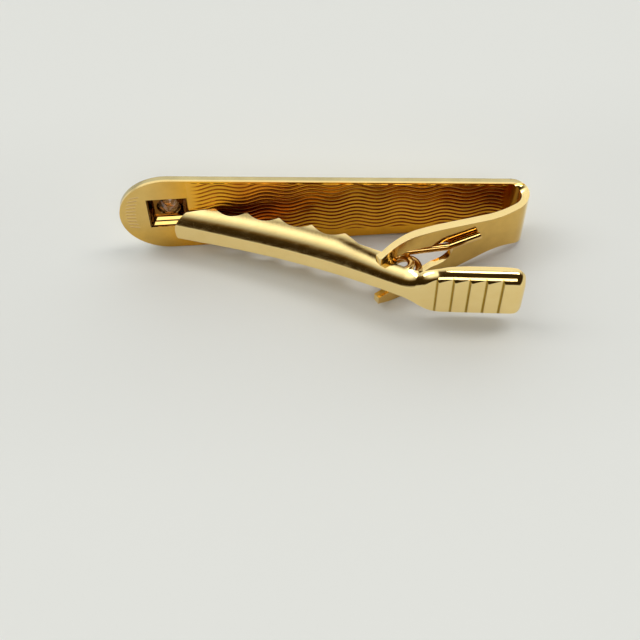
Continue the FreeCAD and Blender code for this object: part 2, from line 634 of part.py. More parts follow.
def make_lever():
    """Stamped channel: jaw with scalloped flanges, ears on the trunnions and a wider ribbed thumb tab."""
    tab = make_tool(
        "tab_blank", ["heel", "knee_start", "knee_stop", "tab_past"], ["tab_past_top", "heel_top"],
        {"knee_start": ("knee_radius", "left")}, "Sizes.tab_width", "Sizes.tab_bend_radius", "tab")
    tab_core = make_tool(
        "tab_core_blank", ["inner_heel", "inner_knee_start", "inner_knee_stop", "inner_past"],
        ["inner_past_top", "inner_heel_top"], {"inner_knee_start": ("knee_inside_radius", "left")},
        "2 * Places.tab_core_half", "Sizes.tab_bend_radius - Sizes.lever_sheet", "tab_core")
    arm_core = make_tool(
        "arm_core_blank", ["inner_mouth", "inner_jaw", "inner_heel", "inner_knee_start"],
        ["inner_knee_start_top", "inner_heel_top", "inner_mouth_top"],
        {"inner_jaw": ("arm_inside_radius", "right")},
        "2 * Places.channel_half", "Sizes.lever_bend_radius - Sizes.lever_sheet")

    body = new_body("clip_lever")
    add_channel(
        body, "arm", ["jaw_tip", "heel", "knee_start"], ["knee_start_top", "heel_top", "jaw_tip_top"],
        {"jaw_tip": ("arm_radius", "right")}, "Sizes.lever_width", "Sizes.lever_bend_radius")
    add_boolean(body, "tab_join", "Fuse", [tab])

    free_edge = new_sketch(body, "flange_edge", "XY_Plane")
    add_outline(
        free_edge,
        ["edge_mouth", "inner_jaw", "edge_lead"] + scallop_tips
        + ["scallop_last", "edge_neck", "ear_top", "ear_side", "saddle_start", "saddle_stop"]
        + ["tab_edge_start", "tab_edge_full", "tab_edge_stop", "tab_corner"]
        + ["edge_past", "edge_past_top", "edge_mouth_top"],
        {"ear_top": ("ear_radius", "right"), **{tip: ("scallop_radius", "left") for tip in scallop_tips}})
    add_feature(body, "Pocket", "flange_trim", free_edge, "Places.tab_clear_width", SYMMETRIC)

    tip = new_sketch(body, "jaw_corners", "XZ_Plane")
    for side, turn in (("upper", "right"), ("lower", "left")):
        add_outline(tip, [f"tip_{side}_{name}" for name in ("start", "stop", "over", "past", "before")],
                    {f"tip_{side}_start": ("jaw_tip_round", turn)})
    add_feature(body, "Pocket", "jaw_round", tip, "2 * Places.channel_depth", SYMMETRIC)

    holes = new_sketch(body, "ear_holes", "XY_Plane")
    add_circle(holes, "pivot", "ear_hole_radius")
    add_feature(body, "Pocket", "ear_hole_cut", holes, "Places.tab_clear_width", SYMMETRIC)

    ribs = new_sketch(body, "tab_ribs", "XY_Plane")
    for index in range(rib_count):
        add_outline(ribs, [f"rib_{corner}_{index}" for corner in RIB_CORNERS])
    add_feature(body, "Pocket", "rib_cut", ribs, "Places.tab_clear_width", SYMMETRIC)

    add_boolean(body, "channel_cut", "Cut", [arm_core, tab_core])
    return body


def make_collet():
    """Square setting with a stepped back and a bored seat that grips the stone's girdle under a lip."""
    body = new_body("stone_collet")
    block = new_sketch(body, "collet_square", "XZ_Plane", z="-Sizes.collet_recess")
    add_outline(block, [f"collet_{corner}" for corner in SQUARE])
    add_feature(body, "Pad", "collet_block", block, "Places.collet_depth", reverse=True)
    step = new_sketch(body, "collet_step", "XZ_Plane", z="-Sizes.collet_recess")
    add_outline(step, [f"step_{corner}" for corner in SQUARE])
    add_feature(body, "Pocket", "collet_step_cut", step, "Sizes.collet_step_depth")
    seat = new_sketch(body, "collet_seat", "XY_Plane", **STONE_AXIS)
    add_outline(
        seat,
        ["seat_back", "seat_bore_back", "seat_bore_front", "seat_ledge", "seat_girdle", "seat_lip",
         "seat_lip_front", "seat_front"])
    add_turned(body, "Groove", "collet_seat_cut", seat)
    return body


def make_stone():
    """Round stone with its point toward the back of the bar."""
    body = new_body("stone")
    half = new_sketch(body, "stone_half", "XY_Plane", **STONE_AXIS)
    add_outline(
        half, ["stone_culet", "stone_girdle_foot", "stone_girdle_top", "stone_table_rim", "stone_table"])
    add_turned(body, "Revolution", "stone_turned", half)
    return body


def tangent_arcs(start, heading, stop, final_heading):
    """Two arcs that join two points and leave and arrive along the given headings."""
    chord = stop - start
    both = heading + final_heading
    spread = 2 * (1 - heading.dot(final_heading))
    reach = (math.sqrt(chord.dot(both) ** 2 + spread * chord.dot(chord)) - chord.dot(both)) / spread
    first_pole = start + heading * reach
    last_pole = stop - final_heading * reach
    joint = (first_pole + last_pole) / 2
    return [pole_arc(start, first_pole, joint), pole_arc(joint, last_pole, stop)]


def pole_arc(start, pole, stop):
    """Arc that touches both legs of a corner, from start toward the pole and on to stop."""
    middle = (start + stop) / 2
    half = (stop - start).Length / 2
    lean = math.acos(half / (pole - start).Length)
    summit = middle + (pole - middle).normalize() * half * math.tan(lean / 2)
    return Part.Arc(start, summit, stop).toShape()


def make_spring():
    """Wound wire: upper tail on the leg, a coil in the leg's window and a lower tail under the thumb tab."""
    diameter = held("wire_diameter")
    radius = held("coil_radius")
    stand_off = diameter / 2 + held("wire_clearance")
    leg = math.radians(held("leg_angle"))
    toward_fork = Vector(-math.cos(leg), -math.sin(leg), 0)
    off_leg = Vector(math.sin(leg), -math.cos(leg), 0)
    tail_top = held_point("leg_root") + off_leg * stand_off + toward_fork * held("upper_tail_start")
    corner = tail_top + toward_fork * held("upper_tail_run")
    along_bar = Vector(-1, 0, 0)
    coil_start = corner + along_bar * held("coil_run")
    centre = coil_start - Vector(0, radius, 0)

    tab = math.radians(held("tab_angle"))
    along_tab = Vector(math.cos(tab), -math.sin(tab), 0)
    off_tab = Vector(math.sin(tab), math.cos(tab), 0)
    tail_foot = held_point("knee_stop") + along_tab * held("lower_tail_reach")
    tail_end = tail_foot + off_tab * (held("lever_sheet") + stand_off)
    to_tail = tail_end - centre
    tail_length = math.sqrt(to_tail.dot(to_tail) - radius ** 2)
    start_angle = math.pi / 2
    stop_angle = math.atan2(to_tail.y, to_tail.x) - math.atan2(tail_length, radius)
    while stop_angle < start_angle:
        stop_angle += 2 * math.pi
    stop_angle += 2 * math.pi * (held("coil_turns") - 1)
    sweep = stop_angle - start_angle
    pitch = diameter + held("coil_gap")
    drop = pitch * sweep / (2 * math.pi)
    top = held("coil_rise") + drop / 2

    quarters = math.ceil(sweep / (math.pi / 2))
    nodes = []
    for index in range(quarters + 1):
        angle = start_angle + sweep * index / quarters
        level = top - drop * index / quarters
        spoke = Vector(math.cos(angle), math.sin(angle), 0)
        heading = Vector(-math.sin(angle), math.cos(angle), 0)
        if 0 < index < quarters:
            heading.z = -drop / (sweep * radius)
        nodes.append((centre + spoke * radius + Vector(0, 0, level), heading.normalize()))

    tail_top.z = corner.z = top
    bend_reach = held("upper_bend_radius") * math.tan(leg / 2)
    bend_start = corner - toward_fork * bend_reach
    bend_stop = corner + along_bar * bend_reach
    edges = [
        Part.LineSegment(tail_top, bend_start).toShape(),
        pole_arc(bend_start, corner, bend_stop),
        Part.LineSegment(bend_stop, nodes[0][0]).toShape(),
    ]
    for (start, heading), (stop, final_heading) in zip(nodes, nodes[1:]):
        edges += tangent_arcs(start, heading, stop, final_heading)
    last, final_heading = nodes[-1]
    edges.append(Part.LineSegment(last, last + final_heading * tail_length).toShape())
    path = Part.Wire(edges)
    section = Part.Wire(Part.Circle(tail_top, toward_fork, diameter / 2).toShape())
    tube = path.makePipeShell([section], True, False)
    report_spring(path, tube, diameter, radius)

    spring = doc.addObject("Part::Feature", "torsion_spring")
    spring.Label = "torsion_spring"
    spring.Shape = tube
    bind_placement(spring)
    return spring


def report_spring(path, tube, diameter, radius):
    """Print the wire's least gap to itself, measured on points, and its volume by section times length."""
    spots = path.discretize(Number=SPRING_SPOTS)
    step = path.Length / (SPRING_SPOTS - 1)
    apart = math.ceil(math.pi * radius / step)
    least = min(
        spot.distanceToPoint(other)
        for index, spot in enumerate(spots)
        for other in spots[index + apart:]
    )
    print(f"spring: least gap to itself {least - diameter:.3f} mm")
    expected = math.pi * diameter ** 2 / 4 * path.Length
    print(f"spring: volume {tube.Volume:.4f} mm3, section times length {expected:.4f} mm3")


# Points on the spring's middle line at which its gap to itself is measured
SPRING_SPOTS = 600

subparts = [make_bar(), make_lever(), make_spring(), make_collet(), make_stone()]
doc.recompute()

failed = [item.Label for item in doc.Objects if {"Invalid", "Error"} & set(item.State)]
if failed:
    raise RuntimeError(f"failed features: {failed}")
for subpart in subparts:
    if subpart.Shape.isNull() or not subpart.Shape.isValid() or len(subpart.Shape.Solids) != 1:
        raise RuntimeError(f"bad shape: {subpart.Label}")

os.makedirs("parts", exist_ok=True)
for subpart in subparts:
    subpart.Shape.exportStep(f"parts/{subpart.Label}.step")
    box = subpart.Shape.BoundBox
    print(f"{subpart.Label}: {subpart.Shape.Volume:.3f} mm3, X {box.XMin:.3f} to {box.XMax:.3f}, "
          f"Y {box.YMin:.3f} to {box.YMax:.3f}, Z {box.ZMin:.3f} to {box.ZMax:.3f}")
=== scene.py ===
import math

import bmesh
import bpy
from mathutils import Matrix, Vector


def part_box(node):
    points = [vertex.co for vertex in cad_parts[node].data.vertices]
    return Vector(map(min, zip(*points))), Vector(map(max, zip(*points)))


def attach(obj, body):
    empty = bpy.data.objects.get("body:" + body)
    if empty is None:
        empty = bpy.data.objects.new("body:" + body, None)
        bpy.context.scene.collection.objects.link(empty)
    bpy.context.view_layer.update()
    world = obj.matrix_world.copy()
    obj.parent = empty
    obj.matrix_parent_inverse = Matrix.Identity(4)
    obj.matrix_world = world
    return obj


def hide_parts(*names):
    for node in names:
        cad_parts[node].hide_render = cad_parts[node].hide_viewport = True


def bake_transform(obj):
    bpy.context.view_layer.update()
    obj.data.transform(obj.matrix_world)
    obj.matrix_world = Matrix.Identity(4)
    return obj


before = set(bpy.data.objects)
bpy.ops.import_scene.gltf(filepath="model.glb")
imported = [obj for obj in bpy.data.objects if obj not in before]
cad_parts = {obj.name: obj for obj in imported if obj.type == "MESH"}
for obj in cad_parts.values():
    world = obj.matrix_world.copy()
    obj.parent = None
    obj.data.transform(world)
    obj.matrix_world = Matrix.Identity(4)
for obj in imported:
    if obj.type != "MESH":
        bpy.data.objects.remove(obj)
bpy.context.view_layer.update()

# Points are written in millimetres from the bar's rounded end, with Y = 0 on the plate's back
# and Z = 0 on the lever's middle line. spot() moves them to the CAD frame, in metres.
ORIGIN = Vector((-22.25, 5.5409, 4.7))
MM = 1000

# Plate, in millimetres.
PLATE_END, PLATE_LOW, PLATE_THICK = 44.5, -3.525, 0.8
ROUND_X, ROUND_Z = 5.325, 1.80        # middle of the rounded end
SHOULDER_X, SHOULDER_Z = 5.81, 7.10   # where the rounded end meets the upper edge
FOLD_Z = 3.525                        # upper edge at the fold


def spot(x, y, z):
    return (Vector((x, y, z)) + ORIGIN) / MM


def smooth_step(value, low, high):
    share = min(max((value - low) / (high - low), 0.0), 1.0)
    return share * share * (3 - 2 * share)


def smooth_curve(points):
    """Cubic through the points, without overshoot between two of them."""
    xs = [x for x, _ in points]
    ys = [y for _, y in points]
    rises = [(ys[i + 1] - ys[i]) / (xs[i + 1] - xs[i]) for i in range(len(xs) - 1)]
    slopes = [rises[0]]
    for before, after in zip(rises, rises[1:]):
        slopes.append(0.0 if before * after <= 0 else 2 * before * after / (before + after))
    slopes.append(rises[-1])

    def value(x):
        if x <= xs[0]:
            return ys[0]
        if x >= xs[-1]:
            return ys[-1]
        i = max(k for k in range(len(xs) - 1) if xs[k] <= x)
        run = xs[i + 1] - xs[i]
        t = (x - xs[i]) / run
        return ((1 + 2 * t) * (1 - t) ** 2 * ys[i] + t * (1 - t) ** 2 * run * slopes[i]
                + t * t * (3 - 2 * t) * ys[i + 1] - t * t * (1 - t) * run * slopes[i + 1])

    return value


def plate_top(x):
    """Upper edge of the plate, which tapers toward the fold."""
    return SHOULDER_Z + (FOLD_Z - SHOULDER_Z) * (x - SHOULDER_X) / (PLATE_END - SHOULDER_X)


# ---------------------------------------------------------------- nodes

MIX_FIRST, MIX_SECOND, MIX_RESULT = 6, 7, 2   # a Mix node's colour sockets


def new_material(name):
    material = bpy.data.materials.new(name)
    material.use_nodes = True
    tree = material.node_tree
    return material, tree, tree.nodes["Principled BSDF"]


def add_node(tree, kind, inputs=None, **settings):
    node = tree.nodes.new(kind)
    for key, value in settings.items():
        setattr(node, key, value)
    for key, value in (inputs or {}).items():
        socket = node.inputs[key]
        if isinstance(value, bpy.types.NodeSocket):
            tree.links.new(value, socket)
        else:
            socket.default_value = value
    return node


def axis(tree, vector, name):
    return add_node(tree, "ShaderNodeSeparateXYZ", {"Vector": vector}).outputs[name]


def ease(tree, value, start, stop, low=0.0, high=1.0, kind="SMOOTHSTEP"):
    """Value that goes from low to high as another goes from start to stop."""
    limits = {"From Min": start, "From Max": stop, "To Min": low, "To Max": high}
    return add_node(tree, "ShaderNodeMapRange", {"Value": value, **limits},
                    interpolation_type=kind).outputs["Result"]


def fade(tree, vector, name, start, stop, low=0.0, high=1.0):
    """The same, along one axis of a place or a normal."""
    return ease(tree, axis(tree, vector, name), start, stop, low, high)


def join(tree, operation, first, second):
    return add_node(tree, "ShaderNodeMath", {0: first, 1: second},
                    operation=operation).outputs["Value"]


def product(tree, *values):
    result = values[0]
    for value in values[1:]:
        result = join(tree, "MULTIPLY", result, value)
    return result


def noise(tree, place, scale, detail, roughness=0.5):
    look = {"Scale": scale, "Detail": detail, "Roughness": roughness}
    return add_node(tree, "ShaderNodeTexNoise", {"Vector": place, **look}).outputs["Fac"]


def mix(tree, factor, first, second):
    colours = {MIX_FIRST: first, MIX_SECOND: second}
    return add_node(tree, "ShaderNodeMix", {"Factor": factor, **colours},
                    data_type="RGBA").outputs[MIX_RESULT]


def two_tone(tree, value, low, high, ends=(0.0, 1.0)):
    """Colour that goes from low to high as the value goes from one end to the other."""
    node = add_node(tree, "ShaderNodeValToRGB", {"Fac": value})
    for element, position, colour in zip(node.color_ramp.elements, ends, (low, high)):
        element.position = position
        element.color = (*colour, 1)
    return node.outputs["Color"]


# ---------------------------------------------------------------- masks
# Each is 1 where its colour shows, and most of these colours are painted shade or painted
# reflected gold light. A place is in metres in the CAD frame.

BACK_LEVEL, BACK_MARGIN = 0.00553, 0.00006
POCKET_DEPTH = (0.00690, 0.00680)


def plate_back(tree, place, facing):
    """The plate's engraved back, away from the rounded end, where a deep amber colour is painted
    reflected gold light and painted shade.
    """
    back = add_node(tree, "ShaderNodeMath",
                    {0: axis(tree, place, "Y"), 1: BACK_LEVEL, 2: BACK_MARGIN},
                    operation="COMPARE").outputs["Value"]
    past_round = fade(tree, place, "X", -0.0200, -0.0130)
    return product(tree, back, past_round)


def jaw_painted_shade(tree, place, facing):
    """Painted shade and painted reflection on the plate's back, beside the jaw, in a redder
    colour.
    """
    past_setting = fade(tree, place, "X", -0.0115, -0.0085, 0.0, 0.6)
    before_middle = fade(tree, place, "X", -0.0005, -0.0055)
    stain = product(tree, past_setting, before_middle)
    return product(tree, plate_back(tree, place, facing), stain)


def rounded_end_painted_shade(tree, place, facing):
    """Painted shade on the rounded end's back: warmer and darker, most of all low down."""
    to_back = fade(tree, facing, "Y", -0.6, -0.9, 0.0, 0.90)
    at_end = fade(tree, place, "X", -0.0130, -0.0145)
    low_down = fade(tree, place, "Z", 0.0062, 0.0032, 0.7, 1.0)
    return product(tree, to_back, at_end, low_down)


def fold_painted_shade(tree, place, facing):
    """Faces inside the fold, where a darker brown colour is painted shade."""
    to_front = fade(tree, facing, "Y", 0.2, 0.4)
    behind_plate = fade(tree, place, "Y", 0.0054, 0.0052)
    to_left = fade(tree, facing, "X", -0.15, -0.35)
    at_fold = fade(tree, place, "X", 0.0195, 0.0200)
    not_up = fade(tree, facing, "Z", 0.60, 0.30)
    leg, bend = product(tree, to_front, behind_plate), product(tree, to_left, at_fold)
    return product(tree, join(tree, "MAXIMUM", leg, bend), not_up)


def rim_painted_shade(tree, place, facing):
    """Satin strip along the rim, next to the front face, whose olive colour is painted shade."""
    across = axis(tree, facing, "Y")
    on_rim = ease(tree, product(tree, across, across), 0.60, 0.30)
    near_front = fade(tree, place, "Y", 0.00578, 0.00588)
    return product(tree, on_rim, near_front)


def leg_painted_shade(tree, place, facing):
    """Outer face of the leg, painted warmer and darker as painted shade."""
    to_back = fade(tree, facing, "Y", -0.55, -0.80, 0.0, 0.85)
    on_leg = fade(tree, place, "Y", 0.0050, 0.0020)
    return product(tree, to_back, on_leg)


def channel_painted_shade(tree, place, facing):
    """Inner side of the lever's channel: rougher, and painted brown as painted shade."""
    return fade(tree, facing, "Y", 0.15, 0.40)


def pocket_painted_shade(tree, place, facing):
    """Floor and side walls of the setting's pocket, painted brown as painted shade."""
    deep = fade(tree, place, "Y", *POCKET_DEPTH)
    not_up = fade(tree, facing, "Z", 0.62, 0.40)
    return product(tree, deep, not_up)


def pocket_ledge_painted_shade(tree, place, facing):
    """Steps in the setting's pocket that face up, painted a darker gold as painted shade."""
    deep = fade(tree, place, "Y", *POCKET_DEPTH)
    upward = fade(tree, facing, "Z", 0.40, 0.62)
    return product(tree, deep, upward)


def groove_mark(tree, place, facing):
    """Lines and corners that the mesh itself marks."""
    return add_node(tree, "ShaderNodeAttribute", attribute_name="groove").outputs["Fac"]


# ---------------------------------------------------------------- materials

CLOUD_SCALE, SPECK_SCALE, VEIL_SCALE, PAPER_SCALE = 420.0, 5200.0, 900.0, 9.0
NOISE_SPREAD = (0.3, 0.7)                 # range in which a noise has most of its values
EDGE_RADIUS, EDGE_TURN = 0.00014, (0.99, 0.82)
EDGE_GAIN = (1.04, 1.08, 1.25)            # how much brighter an edge is painted, for wear and as a painted highlight
LAYER_DEPTH = 0.82                        # darkest part of a layer's colour
SATIN_FADE = (0.0020, 0.0085)             # where the lever's brushed arm ends
GRAIN_HEIGHT = 0.00002


def gold(name, light, deep, polish, grain, streak, layers=(), satin=0.0):
    """Plated metal: cloudy tone, uneven polish, drawn scratches, and edges painted brighter,
    partly for wear and partly as a painted highlight.

    Each layer is a mask, the colour it shows and the roughness it adds.
    """
    material, tree, shader = new_material(name)
    where = add_node(tree, "ShaderNodeTexCoord").outputs
    place = where["Object"]
    cloud = noise(tree, place, CLOUD_SCALE, 5.0, 0.62)
    tone = two_tone(tree, cloud, deep, light, (0.32, 0.68))

    rounded = add_node(tree, "ShaderNodeBevel", {"Radius": EDGE_RADIUS}, samples=6)
    shape = add_node(tree, "ShaderNodeNewGeometry")
    turned = add_node(tree, "ShaderNodeVectorMath",
                      {0: rounded.outputs["Normal"], 1: shape.outputs["Normal"]},
                      operation="DOT_PRODUCT").outputs["Value"]
    # Edges and corners get a brighter colour: partly wear, partly a painted highlight.
    edge_wear_and_highlight = ease(tree, turned, *EDGE_TURN, kind="LINEAR")
    shine = [min(part * gain, 1) for part, gain in zip(light, EDGE_GAIN)]
    colour = mix(tree, edge_wear_and_highlight, tone, (*shine, 1))

    drawn = add_node(tree, "ShaderNodeMapping", {"Vector": place, "Scale": streak})
    lines = noise(tree, drawn.outputs["Vector"], 1.0, 4.0)
    finish = ease(tree, lines, *NOISE_SPREAD, *polish, kind="LINEAR")
    if satin:
        brushed = fade(tree, place, "X", *SATIN_FADE, satin, 0.0)
        finish = join(tree, "ADD", finish, product(tree, brushed, lines))

    for cover, shade, dulled in layers:
        mask = cover(tree, place, where["Normal"])
        dark = [part * LAYER_DEPTH for part in shade]
        colour = mix(tree, mask, colour, two_tone(tree, cloud, dark, shade, NOISE_SPREAD))
        if dulled:
            finish = join(tree, "ADD", finish, product(tree, mask, dulled))
    tree.links.new(colour, shader.inputs["Base Color"])
    tree.links.new(finish, shader.inputs["Roughness"])

    specks = noise(tree, place, SPECK_SCALE, 3.0)
    bump = add_node(tree, "ShaderNodeBump", {"Height": join(tree, "ADD", lines, specks),
                                             "Strength": grain, "Distance": GRAIN_HEIGHT})
    tree.links.new(bump.outputs["Normal"], shader.inputs["Normal"])
    shader.inputs["Metallic"].default_value = 1.0
    return material


def smoky_stone():
    material, tree, shader = new_material("smoky_stone")
    place = add_node(tree, "ShaderNodeTexCoord").outputs["Object"]
    veil = noise(tree, place, VEIL_SCALE, 4.0)
    tone = two_tone(tree, veil, (0.20, 0.085, 0.026), (0.40, 0.20, 0.070), (0.3, 0.75))
    polish = ease(tree, veil, *NOISE_SPREAD, 0.02, 0.07, kind="LINEAR")
    tree.links.new(tone, shader.inputs["Base Color"])
    tree.links.new(polish, shader.inputs["Roughness"])
    shader.inputs["IOR"].default_value = 1.76
    shader.inputs["Transmission Weight"].default_value = 0.9
    shader.inputs["Coat Weight"].default_value = 0.2
    return material


def paper():
    material, tree, shader = new_material("pale_paper")
    place = add_node(tree, "ShaderNodeTexCoord").outputs["Object"]
    cloud = noise(tree, place, PAPER_SCALE, 3.0)
    tone = two_tone(tree, cloud, (0.79, 0.80, 0.765), (0.81, 0.82, 0.785))
    tree.links.new(tone, shader.inputs["Base Color"])
    shader.inputs["Roughness"].default_value = 0.9
    shader.inputs["Specular IOR Level"].default_value = 0.1
    return material


PALE, DEEP = (0.95, 0.73, 0.32), (0.92, 0.685, 0.28)
WIRE_PALE, WIRE_DEEP = (0.84, 0.56, 0.20), (0.74, 0.46, 0.14)
# WARM, OLIVE, AMBER, RUSSET, FOLD_BROWN, CHANNEL_BROWN, RIB_OLIVE and the two pocket colours are
# painted shade and painted reflected gold light; BROWN darkens the engraved lines and hatch
# strokes.
WARM = (0.74, 0.44, 0.080)
OLIVE = (0.64, 0.53, 0.26)
AMBER = (0.93, 0.45, 0.028)
RUSSET = (0.70, 0.20, 0.010)
BROWN = (0.29, 0.055, 0.005)
FOLD_BROWN = (0.50, 0.24, 0.02)
CHANNEL_BROWN = (0.42, 0.20, 0.030)
RIB_OLIVE = (0.52, 0.33, 0.035)
POCKET_BROWN, POCKET_GOLD = (0.25, 0.105, 0.014), (0.66, 0.42, 0.13)

GOLD_BAR = gold(
    "gold_bar_plate", PALE, DEEP, polish=(0.07, 0.15), grain=0.05, streak=(300, 900, 5000),
    layers=[(rim_painted_shade, OLIVE, 0.10), (leg_painted_shade, WARM, 0), (rounded_end_painted_shade, WARM, 0),
            (plate_back, AMBER, 0), (jaw_painted_shade, RUSSET, 0), (fold_painted_shade, FOLD_BROWN, 0.05)])
GOLD_WAVES = gold(
    "gold_engraved_plate", PALE, DEEP, polish=(0.09, 0.18), grain=0.05, streak=(300, 900, 5000),
    layers=[(plate_back, AMBER, 0), (jaw_painted_shade, RUSSET, 0), (groove_mark, BROWN, 0.15)])
GOLD_LEVER = gold(
    "gold_lever_plate", PALE, DEEP, polish=(0.05, 0.12), grain=0.11, streak=(350, 2500, 2500),
    layers=[(channel_painted_shade, CHANNEL_BROWN, 0.30), (groove_mark, RIB_OLIVE, 0.08)], satin=0.09)
GOLD_WIRE = gold(
    "gold_wire_plate", WIRE_PALE, WIRE_DEEP, polish=(0.08, 0.18), grain=0.08,
    streak=(800, 6000, 6000))
GOLD_COLLET = gold(
    "gold_collet_plate", PALE, DEEP, polish=(0.06, 0.14), grain=0.05, streak=(900, 900, 4000),
    layers=[(pocket_painted_shade, POCKET_BROWN, 0), (pocket_ledge_painted_shade, POCKET_GOLD, 0)])
STONE = smoky_stone()
PAPER = paper()


# ---------------------------------------------------------------- pieces

def add_piece(name, mesh, material, body=None):
    piece = bpy.data.objects.new(name, mesh)
    bpy.context.scene.collection.objects.link(piece)
    mesh.materials.clear()
    mesh.materials.append(material)
    if body:
        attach(piece, body)
    return piece


def skin(work, rows, closed=False, flip=False):
    """Quads between neighbouring rows of corners."""
    for row, after in zip(rows, rows[1:]):
        if closed:
            row, after = row + row[:1], after + after[:1]
        for a, b, c, d in zip(row, row[1:], after[1:], after):
            work.faces.new((a, d, c, b) if flip else (a, b, c, d))


def take_mesh(work, name):
    mesh = bpy.data.meshes.new(name)
    work.to_mesh(mesh)
    work.free()
    return mesh


# Bar: the CAD strip, with its rim smoothed round the fold.
WELD = 2e-6
BEND_X, BEND_Y, BEND_INNER, BEND_OUTER = 42.6, -1.1, 1.1, 1.9
WINDOW_LOW, WINDOW_HIGH = (3.0, 0.0, -0.1), (7.6, 0.0, 4.5)   # round the setting's window
BORDER_ROUND, EDGE_ROUND = 0.26, 0.14


def level_fold_rim(work):
    """Round the fold, let the plate's rim run down into the leg's without a step."""
    touch, upper_half, rim_depth = 0.01, 2, 0.02
    bend_start, bend_end = 0.001, -0.002
    placed = [(vert, vert.co * MM - ORIGIN) for vert in work.verts]
    leg_level = min(at.z for _, at in placed
                    if abs(at.x - BEND_X - BEND_INNER) < touch and abs(at.y - BEND_Y) < touch
                    and at.z > upper_half)
    for vert, at in placed:
        x, y = at.x - BEND_X, at.y - BEND_Y
        if x < bend_start or y < bend_end or at.z < plate_top(at.x) - rim_depth:
            continue
        apex = BEND_X + math.hypot(x, y)
        share = (apex - BEND_X - BEND_INNER) / (BEND_OUTER - BEND_INNER)
        target = leg_level + (FOLD_Z - leg_level) * share
        turned = smooth_step(math.atan2(y, x), math.pi / 2, 0)
        vert.co.z += (target - plate_top(apex)) * turned / MM


def round_edges(work, lines, size):
    """Break edges by up to a size: the mesh's shortest edges keep it to a few microns."""
    bmesh.ops.bevel(work, geom=lines, offset=size / MM, offset_type="OFFSET", segments=3,
                    profile=0.5, affect="EDGES", clamp_overlap=True)


def make_bar():
    """The stamped strip: plate, fold and forked leg in one piece, its edges barely broken."""
    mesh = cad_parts["bar_strip"].data.copy()
    mesh.name = "bar_strip_dressed"
    work = bmesh.new()
    work.from_mesh(mesh)
    bmesh.ops.remove_doubles(work, verts=work.verts, dist=WELD)
    level_fold_rim(work)
    bmesh.ops.remove_doubles(work, verts=work.verts, dist=2 * WELD)
    bmesh.ops.dissolve_limit(work, angle_limit=math.radians(0.6), verts=work.verts,
                             edges=work.edges)

    def sharp():
        return [line for line in work.edges
                if len(line.link_faces) == 2 and line.calc_face_angle(0) > math.radians(50)]

    front = spot(0, PLATE_THICK, 0).y - WELD
    low, high = spot(*WINDOW_LOW), spot(*WINDOW_HIGH)

    def on_border(line):
        in_window = all(low.x < vert.co.x < high.x and low.z < vert.co.z < high.z
                        for vert in line.verts)
        return all(vert.co.y > front for vert in line.verts) and not in_window

    round_edges(work, [line for line in sharp() if on_border(line)], BORDER_ROUND)
    round_edges(work, sharp(), EDGE_ROUND)
    work.to_mesh(mesh)
    work.free()
    mesh.shade_smooth()
    mesh.set_sharp_from_angle(angle=math.radians(40))
    piece = add_piece("bar_strip_dressed", mesh, GOLD_BAR, "bar")
    weighted = piece.modifiers.new("even_normals", "WEIGHTED_NORMAL")
    weighted.keep_sharp = True
    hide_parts("bar_strip")


# Collet: rings round the setting's middle, each a kind, a half width and a place across the plate.
SETTING_X, SETTING_Z = 5.325, 2.17
COLLET_SIDES, SQUARENESS = 128, 26
COLLET_LEVELS = [
    ("round", 1.25, 1.36), ("round", 1.25, 1.02), ("round", 1.31, 0.97),
    ("square", 1.49, 0.96), ("square", 1.57, 0.95), ("square", 1.58, 0.90),
    ("square", 1.83, 0.655), ("square", 1.84, 0.455), ("square", 2.09, 0.205),
    ("square", 2.155, 0.19), ("square", 2.18, 0.225), ("square", 2.18, 1.48),
    ("square", 2.15, 1.56), ("square", 2.07, 1.60), ("square", 1.90, 1.60),
    ("square", 1.80, 1.55), ("round", 1.62, 1.50), ("round", 1.56, 1.52),
    ("round", 1.50, 1.59), ("round", 1.45, 1.60), ("round", 1.34, 1.60),
    ("round", 1.30, 1.57), ("round", 1.29, 1.42)]


def make_collet():
    """Square setting: bevelled steps fall to the stone's seat, and a lip holds it in front."""
    work = bmesh.new()
    rings = []
    for kind, size, y in COLLET_LEVELS:
        ring = []
        for step in range(COLLET_SIDES):
            angle = 2 * math.pi * step / COLLET_SIDES
            c, s = math.cos(angle), math.sin(angle)
            reach = size
            if kind == "square":
                reach /= (abs(c) ** SQUARENESS + abs(s) ** SQUARENESS) ** (1 / SQUARENESS)
            ring.append(work.verts.new(spot(SETTING_X + reach * c, y, SETTING_Z + reach * s)))
        rings.append(ring)
    skin(work, rings, closed=True)
    bmesh.ops.recalc_face_normals(work, faces=work.faces)
    mesh = take_mesh(work, "collet_dressed")
    mesh.shade_smooth()
    mesh.set_sharp_from_angle(angle=math.radians(14))
    piece = add_piece("collet_dressed", mesh, GOLD_COLLET, "bar")
    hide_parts("stone_collet")


# Lever: one stamped channel, lofted along its web from the jaw to the thumb tab.
TIP_X, HEEL_X, END_X = 5.8, 27.98, 42.28
PIVOT_X, PIVOT_Y, EAR_RADIUS = 28.558, -8.444, 0.8
ARM_X, ARM_Y, ARM_RADIUS = -16.3375, -90.1083, 91.9917
TAB_X, TAB_Y, TAB_SLOPE = 32.36, -11.904, math.tan(math.radians(6.2))
HEEL_BLEND = 0.045
LEVER_SHEET, LEVER_EDGE = 0.5, 0.08
LEVER_WELD, LEVER_SLIVER = 1.2e-6, 1e-7

